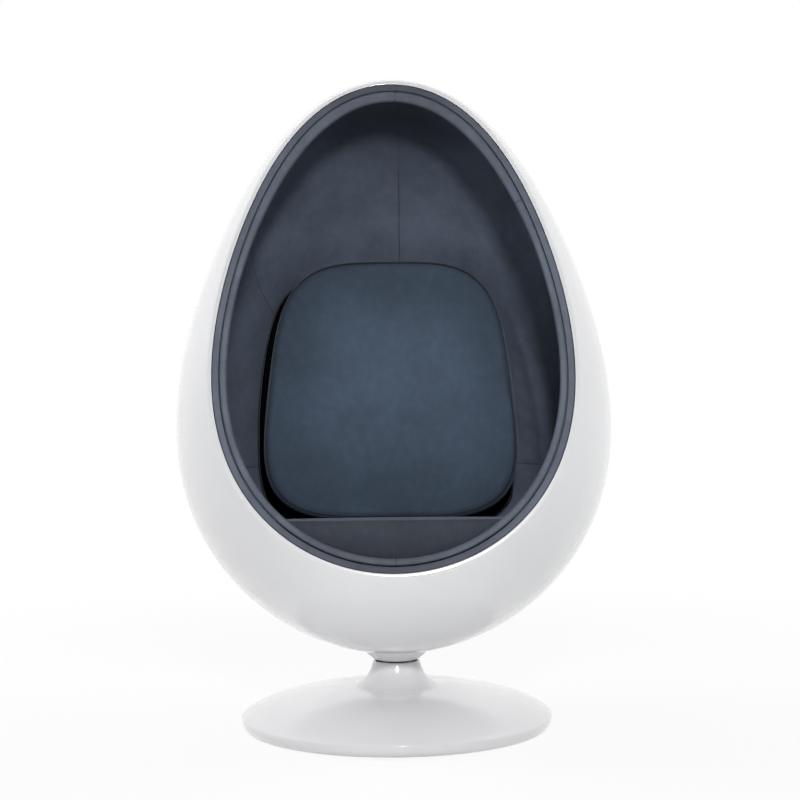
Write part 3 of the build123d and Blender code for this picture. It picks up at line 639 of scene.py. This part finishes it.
# Behind the cushion the lining is left open, and thin black cloth covers the bare shell. Its
# near-black colour is painted shadow, for the deep hollow behind the cushion.
CLOTH_FRONT = 0.0092
CLOTH_BACK = 0.0075
black_cloth, black_shader, black_place = finish("black_cloth", 0.95, Specular_IOR_Level=0.1)
BLACK = (0.0006, 0.0006, 0.0007, 1)
DUSTY_BLACK = (0.0022, 0.0022, 0.0025, 1)
threads = black_place.noise(700.0)
feed(black_shader, "Base Color", threads.mix(BLACK, DUSTY_BLACK))
feed(black_shader, "Normal", threads.bump(0.0003, 0.5))
cloth_share = np.linspace(0.02, 1.03, 24)[:, None]      # it reaches a little under the lining
cloth_front = on_egg(back_edge * cloth_share, around, CLOTH_FRONT, RIM_DEPTH)
cloth_back = on_egg(back_edge * cloth_share[::-1], around, CLOTH_BACK, RIM_DEPTH)
cloth = skin("dust_cloth", np.concatenate([cloth_front, cloth_back]), tips=(0, -1))
fit(cloth, "pod", "black_cloth", black_cloth, "back_dust_cloth")


# ---------------------------------------------------------------- seat
# Birch plywood carries the seat: three curved battens glued in the shell, the deck screwed to them
# and the upright board of the front panel screwed to the deck.
def plywood(name):
    """Birch plywood: pale veneer with long grain along X, and darker glue lines on its edges."""
    made, shader, place = finish(name, 0.62)
    along = place.add("ShaderNodeMapping", {"Vector": place, "Scale": (1.2, 14, 60)})
    grain = along.noise(5.0, 6.0, 0.65)
    pale, brown = (0.60, 0.44, 0.27, 1), (0.42, 0.27, 0.14, 1)
    feed(shader, "Base Color", grain.step(0.35, 0.7).mix(pale, brown))
    feed(shader, "Normal", grain.bump(0.0003, 0.4))
    return made


birch = plywood("birch_plywood")
clad(birch, "deck_battens", "seat_deck", "apron_board", "reinforcing_board")

# The seat pad is foam under velvet and fills the egg from wall to wall. The front panel is a thin
# pad of the same, stretched over its board, with a seam along its rounded top edge.
SEAT_MIDDLE = 0.37       # behind the front edge
SEAT_CROWN = 0.006
SEAT_FRONT = 0.0526      # behind the opening
APRON_DEPTH = 0.018
APRON_THICKNESS = 0.022
APRON_MIDDLE = -0.075    # below the seat's edge
# The front panel's velvet is a darker copy of the slate velvet: painted shade.
APRON = (0.033, 0.039, 0.053, 1)
APRON_NAP = (0.058, 0.067, 0.089, 1)
GRAIN_OF_PADS = 0.006    # size of the cells that the pads are simulated in


def pad_section(radius, half, squareness, count):
    """Half section of a pad from its top to its underside: the share of the way out and the level,
    on a super-ellipse, spaced evenly over the real length."""
    turn = np.linspace(0, pi, 4000)
    out = np.sin(turn).clip(0) ** (2 / squareness)
    level = np.sign(np.cos(turn)) * np.abs(np.cos(turn)) ** (2 / squareness)
    length = np.concatenate([[0], np.cumsum(np.hypot(np.diff(out) * radius, np.diff(level) * half))])
    even = np.linspace(0, length[-1], count)[1:-1]
    return np.interp(even, length, out)[:, None], np.interp(even, length, level)[:, None]


def fill_out(start, ways, test):
    """Points where rays stop passing the test, found by halving."""
    near, far = np.zeros(ways.shape[:-1]), np.full(ways.shape[:-1], 0.9)
    for _ in range(30):
        reach = (near + far) / 2
        passed = test(start + ways * reach[..., None])
        near, far = np.where(passed, reach, near), np.where(passed, far, reach)
    return near[..., None]


def within(at, inset):
    """Whether points lie so far inside the egg, by the fall of its radius near them."""
    radius, height = egg_profile(0.0).T
    steep = np.gradient(radius, height)
    room = np.interp(at[..., 2], height, radius, -1, -1) - np.hypot(at[..., 0], at[..., 1])
    return room > inset * np.hypot(1, np.interp(at[..., 2], height, steep))


def behind_opening(at):
    return (middle_of_opening - at) @ outwards


def seat_crown(at):
    """Height of the crowned seat over its flat plane: a shallow dome."""
    along = (at - SEAT_EDGE) @ seat_back
    return SEAT_CROWN * (1 - ((along - SEAT_MIDDLE) ** 2 + at[..., 0] ** 2) / 0.3987**2)


def as_cloth(piece, reach, held=None):
    """Swells a closed form as sewn cloth: cells of one size, air pressure inside, no weight. Each
    point ends at its start plus its way, shortened smoothly so that it stays within the reach."""
    cells = piece.modifiers.new("cells", "REMESH")
    cells.mode = "VOXEL"
    cells.voxel_size = GRAIN_OF_PADS
    settle(piece)
    start = points_of(piece)
    sewn = piece.vertex_groups.new(name="sewn")
    if held:
        sewn.add(np.flatnonzero(held(start)).tolist(), 1.0, "REPLACE")
    cover = piece.modifiers.new("cover", "CLOTH")
    cover.settings.use_pressure = True
    cover.settings.uniform_pressure_force = 4.0
    cover.settings.effector_weights.gravity = 0.0
    cover.settings.vertex_group_mass = "sewn"
    for moment in range(1, 21):
        bpy.context.scene.frame_set(moment)
    settle(piece)
    bpy.context.scene.frame_set(1)
    way = points_of(piece) - start
    length = np.linalg.norm(way, axis=1, keepdims=True).clip(1e-9)
    move_points(piece, start + way / length * reach * np.tanh(length / reach))


def settle(piece):
    """Turns what the piece's modifiers make into its own mesh, and clears them."""
    graph = bpy.context.evaluated_depsgraph_get()
    mesh = bpy.data.meshes.new_from_object(piece.evaluated_get(graph))
    piece.modifiers.clear()
    piece.data = mesh
    mesh.shade_smooth()


def points_of(piece):
    flat = np.empty(3 * len(piece.data.vertices))
    piece.data.vertices.foreach_get("co", flat)
    return flat.reshape(-1, 3)


def move_points(piece, points):
    piece.data.vertices.foreach_set("co", points.ravel())
    piece.data.update()


def finer(piece):
    """One round of subdivision over the simulated cells."""
    smoother = piece.modifiers.new("finer", "SUBSURF")
    smoother.levels = smoother.render_levels = 1


def painted_front_panel_shade(place):
    """Painted shade on the front panel: darker towards its lower edge, and over its rounded top edge."""
    height = place.add("ShaderNodeSeparateXYZ", {0: place}, output=2)
    return 0.35 * height.step(0.45, 0.37) + 0.45 * height.step(0.4410, 0.4455)


pad_turn = np.linspace(0, 2 * pi, 360, endpoint=False)
out, level = pad_section(0.35, 0.025, 5.0, 120)
seat_ways = np.cos(pad_turn)[:, None] * np.array([1.0, 0, 0]) + np.sin(pad_turn)[:, None] * seat_back
seat_ways = np.broadcast_to(seat_ways, (len(out), len(pad_turn), 3))
seat_start = SEAT_EDGE + seat_back * SEAT_MIDDLE
seat_start = seat_start + seat_up * SEAT_THICKNESS / 2 * (0.94 * level[..., None] - 1)
in_seat = lambda at: within(at, LINING_INSET + 0.005) & (behind_opening(at) > SEAT_FRONT + 0.003)
seat_grid = seat_start + seat_ways * fill_out(seat_start, seat_ways, in_seat) * out[..., None]
seat = skin("seat_cover", seat_grid, tips=(0, -1))
as_cloth(seat, 0.012)
seat_points = points_of(seat)
height = (seat_points - SEAT_EDGE) @ seat_up
limited = np.clip(height, 0.0006 - SEAT_THICKNESS, seat_crown(seat_points) - 0.0003)
move_points(seat, seat_points + (limited - height)[:, None] * seat_up)
finer(seat)
seat_velvet = velvet("seat_velvet", SLATE, SLATE_NAP)
fit(seat, "pod", "slate_fabric", seat_velvet, "seat_pad")

out, level = pad_section(0.2, 0.011, 9.0, 90)
apron_ways = np.cos(pad_turn)[:, None] * np.array([1.0, 0, 0]) + np.sin(pad_turn)[:, None] * upwards
apron_ways = np.broadcast_to(apron_ways, (len(out), len(pad_turn), 3))
apron_start = SEAT_EDGE + upwards * APRON_MIDDLE
apron_start = apron_start + outwards * APRON_THICKNESS / 2 * (0.9 * level[..., None] - 1)
wall_gap = lambda at: np.interp(at[..., 2], (0.385, 0.400), (0.010, LINING_INSET + 0.001))
in_apron = lambda at: within(at, wall_gap(at)) & ((at - SEAT_EDGE) @ seat_up < 0)
apron_grid = apron_start + apron_ways * fill_out(apron_start, apron_ways, in_apron) * out[..., None]
apron = skin("front_panel_cover", apron_grid, tips=(0, -1))
as_cloth(apron, 0.005)
apron_points = points_of(apron)
sunk = behind_opening(apron_points) - (APRON_DEPTH + APRON_THICKNESS)
move_points(apron, apron_points + sunk.clip(0)[:, None] * outwards)
finer(apron)
apron_velvet = velvet("front_panel_velvet", APRON, APRON_NAP, dark=painted_front_panel_shade)
fit(apron, "pod", "slate_fabric", apron_velvet, "apron_pad")


# ---------------------------------------------------------------- back cushion
# A loose boxed cushion stands against the back: two crowned panels and a border, sewn with plain
# seams over a fibre-wrapped foam core.
CUSHION_HALF = 0.2655
CUSHION_NARROWING = 0.0305
CUSHION_HALF_HEIGHT = 0.2818
CUSHION_MIDDLE = np.array([-0.0068, 0.186, 0.6735])
CUSHION_HALF_DEPTH = 0.0875
CUSHION_SQUARENESS = 3.8
CUSHION_RECLINE = radians(5.0)
CUSHION_HINGE = np.array([0, 0.186, 0.391])
CUSHION_SLACK = 0.006    # what the form is smaller by before it swells
PANEL_SEAM = 0.952       # share of the way out at which panel and border meet
CUSHION = (0.070, 0.098, 0.143, 1)
CUSHION_NAP = (0.106, 0.152, 0.220, 1)


def lean_back(points, angle):
    """Turns points about the cushion's lower edge, the top going back."""
    y, z = points[..., 1] - CUSHION_HINGE[1], points[..., 2] - CUSHION_HINGE[2]
    turned = [points[..., 0], y * cos(angle) + z * sin(angle), z * cos(angle) - y * sin(angle)]
    return np.stack(turned, axis=-1) + CUSHION_HINGE


def super_norm(across, up):
    return np.abs(across) ** CUSHION_SQUARENESS + np.abs(up) ** CUSHION_SQUARENESS


def cushion_share(points):
    """Share of the way out from the middle line: a super-ellipse that narrows upwards."""
    upright = lean_back(points, -CUSHION_RECLINE)
    up = (upright[..., 2] - CUSHION_MIDDLE[2]) / CUSHION_HALF_HEIGHT
    across = (upright[..., 0] - CUSHION_MIDDLE[0]) / (CUSHION_HALF - CUSHION_NARROWING * up)
    return super_norm(across, up) ** (1 / CUSHION_SQUARENESS)


def cushion_seams_and_painted_shade(place):
    """The seams round the border, painted shade on the border, deeper at the top, and painted shade
    from the crown outwards and towards the top, so that the middle reads paler, by the share of the
    way out stored with each point."""
    out = stored(place, "out")
    height = place.add("ShaderNodeSeparateXYZ", {0: place}, output=2)
    # Painted shade on the border, deeper at the top.
    border = out.step(PANEL_SEAM - 0.012, PANEL_SEAM + 0.008)
    border = (0.22 + 0.33 * height.step(0.80, 0.90)) * border
    # Painted shade growing from the crown outwards and towards the top.
    crown = 0.14 * out.step(0.35, 0.85) + 0.20 * height.step(0.72, 0.92)
    return border + crown + 0.4 * abs(out - PANEL_SEAM).step(0.007, 0.001)


cosine, sine = np.cos(pad_turn), np.sin(pad_turn)
square = super_norm(cosine, sine) ** (-1 / CUSHION_SQUARENESS)
out, level = pad_section(0.25, CUSHION_HALF_DEPTH, 5.0, 150)
up = out * sine * square
across = out * cosine * square * (CUSHION_HALF - CUSHION_SLACK - CUSHION_NARROWING * up)
cushion_grid = np.stack([across, -(CUSHION_HALF_DEPTH - CUSHION_SLACK) * level + 0 * up,
                         (CUSHION_HALF_HEIGHT - CUSHION_SLACK) * up], axis=-1) + CUSHION_MIDDLE
cushion = skin("cushion_cover", lean_back(cushion_grid, CUSHION_RECLINE), tips=(0, -1))
as_cloth(cushion, 0.024, lambda points: np.abs(cushion_share(points) - PANEL_SEAM + 0.02) < 0.013)
cushion_points = points_of(cushion)
gap = (cushion_points - SEAT_EDGE) @ seat_up - seat_crown(cushion_points)
move_points(cushion, cushion_points + (0.0004 - gap).clip(0)[:, None] * seat_up)
tag(cushion, "out", cushion_share(points_of(cushion)))
finer(cushion)
cushion_velvet = velvet("cushion_velvet", CUSHION, CUSHION_NAP, cloud=5.0, dark=cushion_seams_and_painted_shade)
fit(cushion, "loose_cushion", "cushion_fabric", cushion_velvet, "back_cushion")


# ---------------------------------------------------------------- floor, light and camera
# A pale studio with white floor and surroundings: a small key lamp in front, a little right of the
# camera and above it, a weak fill on the left, one large lamp overhead, and one behind each side.
EYE = (0.0, -3.422, 0.715)
PITCH = 0.0169
ROLL = 0.0107
floor_mesh = bpy.data.meshes.new("floor")
floor_mesh.from_pydata([(-8, -8, 0), (8, -8, 0), (8, 8, 0), (-8, 8, 0)], [], [(0, 1, 2, 3)])
floor = bpy.data.objects.new("floor", floor_mesh)
bpy.context.scene.collection.objects.link(floor)
floor_white, floor_shader, floor_place = finish("floor_white", 0.9)
floor_shader.inputs["Base Color"].default_value = (0.9, 0.9, 0.9, 1)
seen = floor_place.add("ShaderNodeLightPath")
seen_by_camera = Paint(seen.tree, seen.socket.node.outputs["Is Camera Ray"])
seen_in_gloss = Paint(seen.tree, seen.socket.node.outputs["Is Glossy Ray"])
seen_through = Paint(seen.tree, seen.socket.node.outputs["Is Transmission Ray"])
glow = seen.add("ShaderNodeEmission", {"Color": (1, 1, 1, 1), "Strength": 1.0})
lit = Paint(seen.tree, floor_shader.outputs[0])
away = floor_place.add("ShaderNodeVectorMath", {0: floor_place}, output=1, operation="LENGTH")
seen_at_all = (seen_by_camera + seen_in_gloss + seen_through).step(0.0, 1.0)
share_of_glow = (0.86 + 0.14 * away.step(0.7, 2.4)) * seen_at_all
both = seen.add("ShaderNodeMixShader", {0: share_of_glow, 1: lit, 2: glow})
seen.tree.links.new(both.socket, seen.tree.nodes["Material Output"].inputs["Surface"])
floor_mesh.materials.append(floor_white)

world = bpy.data.worlds.new("studio")
bpy.context.scene.world = world
world.use_nodes = True
sky = Paint(world.node_tree, world.node_tree.nodes["Background"].inputs["Color"])
rays = sky.add("ShaderNodeLightPath").socket.node.outputs
bright = Paint(sky.tree, rays["Is Camera Ray"]) + Paint(sky.tree, rays["Is Glossy Ray"])
bright = (bright + Paint(sky.tree, rays["Is Transmission Ray"])).step(0.0, 1.0)
background = world.node_tree.nodes["Background"]
background.inputs["Color"].default_value = (1, 1, 1, 1)
sky.tree.links.new((0.03 + 0.97 * bright).socket, background.inputs["Strength"])


def lamp(name, place, target, size, power):
    """A square soft lamp that faces a point."""
    light = bpy.data.lights.new(name, "AREA")
    light.shape = "RECTANGLE"
    light.size, light.size_y = size
    light.energy = power
    made = bpy.data.objects.new(name, light)
    made.location = place
    made.rotation_euler = (Vector(place) - Vector(target)).to_track_quat("Z", "Y").to_euler()
    bpy.context.scene.collection.objects.link(made)
    return made


lamp("key", (0.21, -3.3, 1.73), (0, 0, 0.75), (0.26, 0.26), 60)
lamp("fill", (-1.9, -3.0, 1.6), (0, 0, 0.8), (1.2, 1.2), 3.5)
lamp("over", (-0.5, 0.4, 3.2), (0, 0, 0.5), (2.0, 2.0), 21)
for name, side, power in (("left_edge", -2.4, 50), ("right_edge", 2.4, 46)):
    lamp(name, (side, 0.7, 2.0), (0, 0, 0.8), (1.4, 1.8), power).visible_glossy = False

camera_data = bpy.data.cameras.new("camera")
camera_data.lens = 76.24
camera_data.sensor_width = 36
camera_data.shift_x = 6.7 / 800
camera = bpy.data.objects.new("camera", camera_data)
camera.location = EYE
camera.rotation_euler = (pi / 2 - PITCH, ROLL, 0)
bpy.context.scene.collection.objects.link(camera)
bpy.context.scene.camera = camera
bpy.context.scene.view_settings.view_transform = "Standard"
